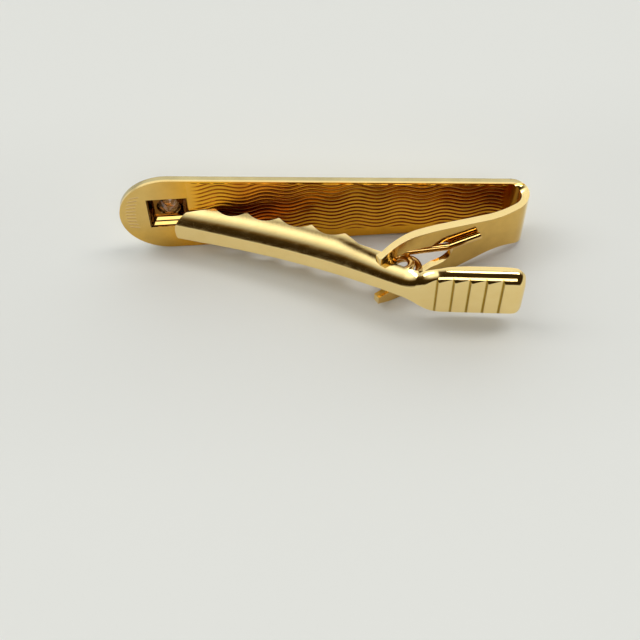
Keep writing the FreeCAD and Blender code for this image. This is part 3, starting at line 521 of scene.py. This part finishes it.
# Along the lever: how far its web is coined in, half the web's flat, half the channel's width
# and the height of the thumb tab's flanges.
COINED = smooth_curve([
    (5.8, 0.0), (8.7, 0.17), (11.9, 0.31), (15, 0.38), (18.2, 0.40), (22.4, 0.42), (26.5, 0.48),
    (28, 0.49)])
FLAT = smooth_curve([
    (5.8, 1.10), (8.7, 1.05), (11.9, 0.97), (15, 0.93), (18.2, 0.93), (22.4, 0.91), (28, 0.86),
    (29.6, 0.89), (30.2, 1.00), (30.8, 1.22), (31.3, 1.52), (31.8, 1.84), (32.3, 2.12),
    (32.8, 2.33), (33.3, 2.45), (34, 2.50), (43, 2.50)])
HALF = smooth_curve([
    (5.8, 2.70), (22.5, 2.70), (25.5, 2.42), (27.5, 2.24), (29.4, 2.22), (30.2, 2.30),
    (30.8, 2.45), (31.3, 2.62), (31.8, 2.81), (32.3, 2.98), (32.8, 3.12), (33.3, 3.21),
    (34, 3.28), (35, 3.30), (43, 3.30)])
TAB_FLANGE = smooth_curve([
    (28.2, 1.60), (29.2, 1.56), (29.8, 1.50), (31.2, 1.36), (32.1, 1.22), (33.06, 1.24),
    (34.5, 1.49), (36.6, 1.66), (39.65, 1.68), (41.16, 1.57), (41.9, 1.25), (42.28, 1.1)])

RISERS = (33.2, 34.87, 36.55, 38.25, 39.95)
RIB_DEPTH, RIB_LEAD, RIB_RAMP, RIB_RISER = 0.22, 1.47, 1.37, 0.20
SHADE_IN, SHADE_OUT = (-0.22, -0.10), (0.12, 0.02)   # painted shade round a riser


def arm_line(x):
    return ARM_Y + math.sqrt(ARM_RADIUS ** 2 - (x - ARM_X) ** 2) - COINED(x)


HEEL_STEP = 0.001
HEEL_Y = arm_line(HEEL_X)
HEEL_SLOPE = (arm_line(HEEL_X) - arm_line(HEEL_X - HEEL_STEP)) / HEEL_STEP


def web_line(x):
    """Outer side of the web: the bowed arm, rounded into the straight thumb tab."""
    arm = arm_line(x) if x < HEEL_X else HEEL_Y + HEEL_SLOPE * (x - HEEL_X)
    tab = TAB_Y - TAB_SLOPE * (x - TAB_X)
    return (arm + tab) / 2 + math.sqrt(((arm - tab) / 2) ** 2 + HEEL_BLEND)


def web_frame(x):
    """Point on the web and the direction from it into the channel."""
    reach = 0.005
    slope = (web_line(x + reach) - web_line(x - reach)) / (2 * reach)
    along = Vector((1, slope, 0)).normalized()
    return Vector((x, web_line(x), 0)), Vector((-along.y, along.x, 0))


def flange_outline():
    """Free edge of the arm's flanges: straight jaw, four scallops, neck and ear."""
    jaw_start, neck = Vector((3.0, -0.12)), Vector((25.53, -6.13))
    first, last = Vector((10.4, -0.12)), Vector((24.19, -4.75))
    bow, depth, steps = 1.6, 0.65, 14
    ear_start, ear_turn, ear_steps = 61.2, 90, 12
    tips = [first]
    for share in (0.25, 0.5, 0.75, 1.0):
        tips.append(first.lerp(last, share) + Vector((0, bow * share * (1 - share))))
    line = [jaw_start, first]
    for start, stop in zip(tips, tips[1:]):
        chord = stop - start
        inward = Vector((chord.y, -chord.x)).normalized()
        for step in range(1, steps + 1):
            t = step / steps
            line.append(start.lerp(stop, t) + inward * depth * 4 * t * (1 - t))
    line.append(neck)
    for step in range(ear_steps + 1):
        angle = math.radians(ear_start - ear_turn * step / ear_steps)
        line.append(Vector((PIVOT_X + EAR_RADIUS * math.cos(angle),
                            PIVOT_Y + EAR_RADIUS * math.sin(angle))))
    return line


ARM_EDGE = flange_outline()


def flange_height(x):
    """From the web to the arm's free edge, or past the ear the thumb tab's own height."""
    parallel, margin = 1e-9, 1e-6
    origin, inward = web_frame(x)
    heights = []
    for start, stop in zip(ARM_EDGE, ARM_EDGE[1:]):
        chord = stop - start
        cross = inward.x * chord.y - inward.y * chord.x
        if abs(cross) < parallel:
            continue
        off = start - Vector((origin.x, origin.y))
        height = (off.x * chord.y - off.y * chord.x) / cross
        share = (off.x * inward.y - off.y * inward.x) / cross
        if -margin <= share <= 1 + margin and height > 0:
            heights.append(height)
    return max(heights, default=TAB_FLANGE(x))


def rib_cut(x):
    """Depth of the thumb tab's ribs: long ramps, each ended by a steep riser."""
    for riser in RISERS:
        run = x - (riser - RIB_LEAD)
        if 0 <= run < RIB_RAMP:
            return RIB_DEPTH * run / RIB_RAMP
        if RIB_RAMP <= run < RIB_RAMP + RIB_RISER:
            return RIB_DEPTH * (RIB_RAMP + RIB_RISER - run) / RIB_RISER
    return 0.0


def rib_shade(x):
    """Painted shade in the corner under each riser."""
    return max(smooth_step(x - riser, *SHADE_IN) * smooth_step(x - riser, *SHADE_OUT)
               for riser in RISERS)


NECK_X = 27.0
JAW_STEP, JAW_COUNT, ARM_STEP, TAB_STEP = 0.04, 46, 0.14, 0.07
END_START, END_REACH, END_COUNT = 1.3, 1.25, 32
RIB_STATIONS = (-1.48, -1.46, -0.22, -0.16, -0.11, -0.09, 0.0, 0.05, 0.09, 0.11)
EAR_STATIONS = (29.24, 29.28)
LEAST_STEP = 0.008


def stations():
    """Where the lever's section is taken: closest at its ends, its ribs and behind its ears."""
    xs = [TIP_X + JAW_STEP * i for i in range(JAW_COUNT)]
    while xs[-1] < NECK_X:
        xs.append(xs[-1] + ARM_STEP)
    while xs[-1] < END_X - END_START:
        xs.append(xs[-1] + TAB_STEP)
    for step in range(1, END_COUNT + 1):
        xs.append(END_X - END_REACH * math.cos(math.pi / 2 * step / END_COUNT))
    xs += [riser + offset for riser in RISERS for offset in RIB_STATIONS]
    xs += EAR_STATIONS
    kept = [TIP_X]
    for x in sorted(xs):
        if LEAST_STEP < x - kept[-1] and x <= END_X:
            kept.append(x)
    kept[-1] = END_X
    return kept


FLAT_STEPS, ROUND_STEPS, WALL_STEPS, END_STEPS = 8, 18, 8, 4
CREASE = math.radians(30)
END_ROUND, CORNER_ROUND, TIP_ROUND, TIP_TRIM = 0.75, 1.2, 2.4, 0.1


def corner_drop(radius, into):
    """How far a rounded corner falls back, at a distance in from its end."""
    if into >= radius:
        return 0.0
    return radius - math.sqrt(radius ** 2 - (radius - into) ** 2)


def lever_section(x):
    """Outer half section as (distance from the middle, depth below the web)."""
    left, lead = END_X - x, x - TIP_X
    corner = corner_drop(CORNER_ROUND, left)
    flat, half = FLAT(x) - corner, HALF(x) - corner
    height = flange_height(x)
    radius = (half - flat) / (1 - math.sin(CREASE))
    full = radius * math.cos(CREASE)
    stop = math.acos(max(math.cos(CREASE) - min(height, full) / radius, 0.0))
    trimmed = False
    if lead < TIP_ROUND:
        limit = half - TIP_TRIM - corner_drop(TIP_ROUND, lead)
        share = math.sin(CREASE) + (limit - flat) / radius
        if limit < flat:
            flat, stop, trimmed = limit, CREASE, True
        elif share < math.sin(stop):
            stop, trimmed = math.asin(share), True
    rise = corner_drop(END_ROUND, left)
    cut = rib_cut(x)
    begin = math.acos(math.cos(CREASE) - cut / radius)
    land = flat + radius * (math.sin(begin) - math.sin(CREASE))
    points = [(land * step / FLAT_STEPS, max(cut, rise)) for step in range(FLAT_STEPS + 1)]
    for step in range(1, ROUND_STEPS + 1):
        angle = begin + (stop - begin) * step / ROUND_STEPS
        depth = radius * (math.cos(CREASE) - math.cos(angle))
        depth += rise * (1 - min(depth / full, 1))
        points.append((flat + radius * (math.sin(angle) - math.sin(CREASE)), depth))
    side, base = points[-1]
    wall = 0.0 if trimmed else max(height, base) - base
    for step in range(1, WALL_STEPS + 1):
        points.append((side, base + wall * (step / WALL_STEPS)))
    return points


def lever_shell():
    """Outer surface of the channel, closed at the thumb tab's end."""
    xs = stations()
    rows = []
    for x in xs:
        origin, inward = web_frame(x)
        half = lever_section(x)
        section = [(-z, depth) for z, depth in reversed(half[1:])] + half
        rows.append([origin + inward * depth + Vector((0, 0, z)) for z, depth in section])
    origin, inward = web_frame(END_X)
    height = flange_height(END_X)
    last = [((point - origin).dot(inward), point.z) for point in rows[-1]]
    for step in range(1, END_STEPS + 1):
        rows.append([origin + Vector((0, 0, z))
                     + inward * (depth + (max(height, depth) - depth) * step / END_STEPS)
                     for depth, z in last])
    work = bmesh.new()
    mark = work.verts.layers.float.new("groove")
    grid = [[work.verts.new(spot(*point)) for point in row] for row in rows]
    side = ROUND_STEPS + WALL_STEPS - 2
    # The groove attribute carries the painted shade under each riser.
    for x, row in zip(xs, grid):
        for vert in row[side:-side]:
            vert[mark] = rib_shade(x)
    skin(work, grid, flip=True)
    bmesh.ops.remove_doubles(work, verts=work.verts, dist=LEVER_WELD)
    bmesh.ops.dissolve_degenerate(work, dist=LEVER_SLIVER, edges=work.edges)
    return take_mesh(work, "lever_shell")


def settle(piece):
    """Final mesh of a piece whose modifiers are done with."""
    graph = bpy.context.evaluated_depsgraph_get()
    mesh = bpy.data.meshes.new_from_object(piece.evaluated_get(graph))
    bpy.data.objects.remove(piece)
    return mesh


def make_lever():
    """The channel's surface thickened to sheet, with its edges broken."""
    shell = bpy.data.objects.new("lever_form", lever_shell())
    bpy.context.scene.collection.objects.link(shell)
    sheet = shell.modifiers.new("sheet", "SOLIDIFY")
    sheet.thickness = LEVER_SHEET / MM
    sheet.offset = -1
    sheet.use_even_offset = False
    edges = shell.modifiers.new("edges", "BEVEL")
    edges.width = LEVER_EDGE / MM
    edges.segments = 2
    edges.limit_method = "ANGLE"
    edges.angle_limit = math.radians(50)
    mesh = settle(shell)
    mesh.name = "lever_channel"
    mesh.shade_smooth()
    mesh.set_sharp_from_angle(angle=math.radians(15))
    piece = add_piece("lever_channel", mesh, GOLD_LEVER, "lever")
    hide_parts("clip_lever")


def make_engraving():
    """Wave lines on the plate's back: a thin relief sheet with fine grooves."""
    pitch, wave, swing, crest = 0.58, 4.93, 0.29, 20.8
    groove, cut, lift, sunk = 0.15, 0.055, 0.06, 0.02   # half width, depth, sheet, sheet's rim
    first, last, columns, rows = 7.62, 42.5, 330, 200
    lines_start, lines_stop, lines_fade = (7.9, 9.2), 42.4, 0.9
    sheet_full, sheet_fade = 8.6, 0.6
    plain_border = (-2.35, -2.0)                        # lower border without lines
    # Lines are coloured darker in proportion to each groove's depth.
    low, top_margin, groove_darkness = PLATE_LOW + 0.12, 0.16, 1.3
    work = bmesh.new()
    mark = work.verts.layers.float.new("groove")
    grid = []
    for i in range(columns + 1):
        x = first + (last - first) * i / columns
        high = plate_top(x) - top_margin
        lines = smooth_step(x, *lines_start) * smooth_step(lines_stop, x, x + lines_fade)
        sheet = smooth_step(x, first, sheet_full) * smooth_step(last, x, x + sheet_fade)
        bend = swing * math.cos(2 * math.pi * (x - crest) / wave)
        column = []
        for j in range(rows + 1):
            z = low + (high - low) * j / rows
            phase = (z - bend) / pitch
            off = abs(phase - round(phase)) * pitch
            depth = max(0.0, 1 - off / groove) * cut * smooth_step(z, *plain_border) * lines
            inner = min(min(j, rows - j) / 2, 1)
            y = sunk - sunk * inner - lift * inner * sheet + depth
            vert = work.verts.new(spot(x, y, z))
            vert[mark] = min(groove_darkness * depth / cut, 1.0)
            column.append(vert)
        grid.append(column)
    skin(work, grid, flip=True)
    mesh = take_mesh(work, "wave_engraving")
    mesh.shade_smooth()
    add_piece("wave_engraving", mesh, GOLD_WAVES, "bar")


def make_hatching():
    """Short strokes beside the rounded end, each a low ridge with a dark crest."""
    count, lowest, pitch, length = 10, 0.15, 0.52, 1.25
    reach, bow, lean = 4.72, 0.8, 0.05   # from the end's middle, roundness, turn of each stroke
    foot = 0.01                          # how far a ridge's sides are sunk in the plate
    ridge, point = (0.13, 0.045, 0.6), (0.0, -foot, 0.0)   # half width, height, darkness
    crest_shift, tip_width = 0.02, 0.001
    work = bmesh.new()
    mark = work.verts.layers.float.new("groove")
    for index in range(count):
        z = lowest + pitch * index
        start = ROUND_X - math.sqrt(reach ** 2 - (bow * (z - ROUND_Z)) ** 2)
        tilt = lean * (index - (count - 1) / 2)
        rows = []
        for share in (0.0, 0.15, 0.5, 0.85, 1.0):
            wide, high, dark = ridge if 0 < share < 1 else point
            x, middle = start + length * share, z + tilt * (share - 0.5)
            row = [work.verts.new(spot(x, foot, middle - wide)),
                   work.verts.new(spot(x, -high, middle - crest_shift)),
                   work.verts.new(spot(x, foot, middle + wide + tip_width))]
            row[1][mark] = dark
            rows.append(row)
        skin(work, rows, flip=True)
    mesh = take_mesh(work, "end_hatching")
    mesh.shade_flat()
    add_piece("end_hatching", mesh, GOLD_WAVES, "bar")


def make_stone():
    """Round brilliant, table to the front and point to the back."""
    low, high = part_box("stone")
    middle = (Vector(low) + Vector(high)) / 2
    radius = (high[0] - low[0]) / 2
    table, point = high[1], low[1]
    crown, girdle = table - radius * 0.30, table - radius * 0.336
    rings = [(8, 0.57, table, 0.0), (8, 0.80, table - radius * 0.135, 0.5),
             (16, 1.0, crown, 0.0), (16, 1.0, girdle, 0.0),
             (8, 0.42, girdle - (girdle - point) * 0.60, 0.5)]
    work = bmesh.new()
    for count, share, level, turn in rings:
        for step in range(count):
            angle = 2 * math.pi * (step + turn) / count
            work.verts.new((middle.x + radius * share * math.cos(angle), level,
                            middle.z + radius * share * math.sin(angle)))
    work.verts.new((middle.x, point, middle.z))
    bmesh.ops.convex_hull(work, input=work.verts)
    bmesh.ops.dissolve_limit(work, angle_limit=math.radians(1), verts=work.verts,
                             edges=work.edges)
    bmesh.ops.recalc_face_normals(work, faces=work.faces)
    mesh = take_mesh(work, "brilliant_stone")
    piece = add_piece("brilliant_stone", mesh, STONE, "bar")
    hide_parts("stone")


# Spring: one wire, from its upper tail down through its coil to its lower tail.
WIRE_RADIUS, WIRE_SIDES = 0.4, 24
WIRE_CAP = ((0.93, 0.12), (0.72, 0.22), (0.35, 0.27))   # width and rise of an end's rings
COIL_X, COIL_Y, COIL_RADIUS = 29.95, -7.75, 1.06
COIL_TOP, COIL_BOTTOM, COIL_LOOSE = 1.30, -0.62, 0.43
COIL_FIRST, COIL_LAST, LOOSE_TURN = 90.0, 967.5, (380, 560)   # degrees
LEG_ANGLE, LEG_ROOT, LEG_GAP = 20, (43.25, -2.885, 0), 0.43
TAIL_START, TAIL_LENGTH, TAIL_STRAIGHT = 5.0, 3.9, 0.94
LOWER_FOOT = (35.9, -11.15, COIL_BOTTOM)
TAIL_STEPS, LEAD_STEPS, COIL_STEPS = 24, 40, 180
LEAD_REACH, LEAD_TURN = 0.8, 4   # how the upper tail bends over into the coil


def spring_line():
    """Tail on the leg, turns that loosen downwards in the fork, tail under the thumb tab."""
    leg = math.radians(LEG_ANGLE)
    toward = Vector((-math.cos(leg), -math.sin(leg), 0))
    off_leg = Vector((math.sin(leg), -math.cos(leg), 0))
    lift = Vector((0, 0, COIL_TOP))
    root = Vector(LEG_ROOT) + off_leg * LEG_GAP + toward * TAIL_START
    corner = root + toward * TAIL_LENGTH
    tail = [root.lerp(corner, TAIL_STRAIGHT * step / TAIL_STEPS)
            for step in range(TAIL_STEPS + 1)]
    line = [point + lift for point in tail]
    centre = Vector((COIL_X, COIL_Y, 0))
    before, start = tail[-1], centre + Vector((0, COIL_RADIUS, 0))
    for step in range(1, LEAD_STEPS + 1):
        t = step / LEAD_STEPS
        bend = before + toward * t * LEAD_REACH
        line.append(bend.lerp(before.lerp(start, t), min(t * LEAD_TURN, 1)) + lift)
    for step in range(1, COIL_STEPS + 1):
        t = step / COIL_STEPS
        angle = COIL_FIRST + (COIL_LAST - COIL_FIRST) * t
        loose = COIL_LOOSE * smooth_step(angle, *LOOSE_TURN)
        radius, turn = COIL_RADIUS + loose, math.radians(angle)
        line.append(centre + Vector((loose + radius * math.cos(turn), radius * math.sin(turn),
                                     COIL_TOP + (COIL_BOTTOM - COIL_TOP) * t)))
    end, foot = line[-1], Vector(LOWER_FOOT)
    heading = (end - line[-2]).normalized()
    reach = (foot - end).length
    for step in range(1, LEAD_STEPS + 1):
        t = step / LEAD_STEPS
        line.append((end + heading * reach * t).lerp(foot, smooth_step(t, 0.0, 1.0)))
    return line


def make_tube(name, line, radius, sides):
    """Round wire along a line, with softly domed ends."""
    turns = [2 * math.pi * k / sides for k in range(sides)]
    rings = []
    side = Vector((0, 0, 1))
    for index, point in enumerate(line):
        ahead = line[min(index + 1, len(line) - 1)] - line[max(index - 1, 0)]
        ahead.normalize()
        side = (side - ahead * side.dot(ahead)).normalized()
        other = ahead.cross(side)
        rings.append([point + radius * (side * math.cos(turn) + other * math.sin(turn))
                      for turn in turns])
    for end, next_in in ((0, 1), (-1, -2)):
        middle = line[end]
        out = (middle - line[next_in]).normalized()
        caps = [[middle + (point - middle) * scale + out * radius * push for point in rings[end]]
                for scale, push in WIRE_CAP]
        rings = (caps[::-1] + rings) if end == 0 else (rings + caps)
    work = bmesh.new()
    verts = [[work.verts.new(spot(*point)) for point in ring] for ring in rings]
    skin(work, verts, closed=True)
    work.faces.new(verts[0])
    work.faces.new(verts[-1])
    bmesh.ops.recalc_face_normals(work, faces=work.faces)
    mesh = take_mesh(work, name)
    mesh.shade_smooth()
    return mesh


def make_spring():
    """The wire as one piece, attached to neither the bar nor the lever."""
    mesh = make_tube("spring_wire", spring_line(), WIRE_RADIUS, WIRE_SIDES)
    piece = add_piece("spring_wire", mesh, GOLD_WIRE, None)
    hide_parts("torsion_spring")
    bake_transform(piece)


make_bar()
make_collet()
make_engraving()
make_hatching()
make_lever()
make_spring()
make_stone()


# ---------------------------------------------------------------- floor

def make_floor():
    """Pale sheet: it meets the fork and the plate's front edge, and levels out on both sides."""
    slope = (4.7 - 3.525) / 9.34        # from the plate's lower edge to the fork's
    near, far = -2.0, 6.341             # where the sheet touches the two, along Y in the CAD frame
    step, count, level_from, level_to = 0.5, 80, 9.0, 27.0
    edge, gap = 2500.0, 0.01
    middle = (near + far) / 2
    heights = {0: middle * slope - near * slope}
    for sign in (1, -1):
        level = heights[0]
        for index in range(count):
            flat = smooth_step((index + 0.5) * step, level_from, level_to)
            level += sign * slope * step * (1 - flat)
            heights[sign * (index + 1)] = level
    ys = [(middle + index * step, heights[index]) for index in sorted(heights)]
    ys = [(-edge, ys[0][1])] + ys + [(edge, ys[-1][1])]
    xs = [-edge] + [40.0 * i for i in range(-8, 9)] + [edge]
    work = bmesh.new()
    skin(work, [[work.verts.new(Vector((x, y, z - gap)) / MM) for x in xs] for y, z in ys])
    mesh = take_mesh(work, "floor_sheet")
    mesh.shade_smooth()
    floor = add_piece("floor_sheet", mesh, PAPER)


make_floor()


# ---------------------------------------------------------------- light

DIM_TINT, ROOM_TINT = (1.0, 0.61, 0.17, 1), (0.98, 1.0, 1.01, 1)
LAMP_COLOUR = (1.0, 0.99, 0.97)


def make_world():
    """Pale room behind the object, warm and dim towards the camera, with a pale horizon all
    round and a soft window high on the left."""
    world = bpy.data.worlds.new("studio")
    bpy.context.scene.world = world
    world.use_nodes = True
    tree = world.node_tree
    way = add_node(tree, "ShaderNodeTexCoord").outputs["Generated"]
    x, y, z = (axis(tree, way, name) for name in "XYZ")
    behind = product(tree, ease(tree, y, 0.04, 0.46, 0.035, 1.0),
                     ease(tree, z, 0.10, 0.50, 0.55, 1.0))
    horizon = ease(tree, z, 0.20, 0.09, 0.0, 0.72)
    window = product(tree, ease(tree, x, -0.15, -0.33), ease(tree, y, -0.72, -0.10),
                     ease(tree, y, 0.50, 0.05), ease(tree, z, 0.45, 0.78, 0.0, 1.6))
    level = join(tree, "ADD", join(tree, "MAXIMUM", behind, horizon), window)
    tint = mix(tree, ease(tree, level, 0.035, 0.40), DIM_TINT, ROOM_TINT)
    background = tree.nodes["Background"]
    tree.links.new(tint, background.inputs["Color"])
    tree.links.new(level, background.inputs["Strength"])


def add_lamp(name, way, distance, wide, deep, level):
    """Soft rectangle in a direction from the object, of a given brightness."""
    light = bpy.data.lights.new(name, "AREA")
    light.shape = "RECTANGLE"
    light.size = wide
    light.size_y = deep
    light.energy = level * math.pi * wide * deep
    light.color = LAMP_COLOUR
    lamp = bpy.data.objects.new(name, light)
    back = Vector(way).normalized()
    side = Vector((1, 0, 0))
    side = (side - back * side.dot(back)).normalized()
    turn = Matrix((side, back.cross(side), back)).transposed()
    lamp.matrix_world = Matrix.Translation(back * distance) @ turn.to_4x4()
    bpy.context.scene.collection.objects.link(lamp)


make_world()
add_lamp("left_panel", (-0.64, 0.13, 0.75), distance=1.80, wide=1.06, deep=0.40, level=3.6)
add_lamp("right_panel", (0.38, 0.10, 0.91), distance=1.80, wide=1.20, deep=0.34, level=6.4)
add_lamp("front_strip", (0.02, -0.716, 0.698), distance=1.60, wide=0.88, deep=0.47, level=2.8)


# ---------------------------------------------------------------- camera

FOCAL_PIXELS, FRAME_PIXELS, SENSOR = 1083, 640, 36.0


def make_camera():
    """The photograph's camera, as fitted to the object's outlines."""
    pitch, roll, yaw = math.radians(54.41), math.radians(1.07), math.radians(2.97)
    distance, aside, above = 0.1197, 0.00044, 0.01163
    target = Vector((0, 5.541, 5.098)) / MM
    side = Vector((math.cos(yaw), -math.sin(yaw), 0))
    ahead = Vector((math.sin(yaw), math.cos(yaw), 0))
    forward = math.cos(pitch) * ahead - math.sin(pitch) * Vector((0, 0, 1))
    upright = math.sin(pitch) * ahead + math.cos(pitch) * Vector((0, 0, 1))
    right = math.cos(roll) * side - math.sin(roll) * upright
    up = math.sin(roll) * side + math.cos(roll) * upright
    camera = bpy.data.cameras.new("photo_camera")
    camera.sensor_width = SENSOR
    camera.lens = FOCAL_PIXELS / FRAME_PIXELS * SENSOR
    camera.clip_start = 0.002
    camera.clip_end = 20.0
    holder = bpy.data.objects.new("photo_camera", camera)
    bpy.context.scene.collection.objects.link(holder)
    turn = Matrix((right, up, -forward)).transposed()
    place = target - aside * right - above * up - distance * forward
    holder.matrix_world = Matrix.Translation(place) @ turn.to_4x4()
    bpy.context.scene.camera = holder


make_camera()
bpy.context.scene.view_settings.view_transform = "Standard"
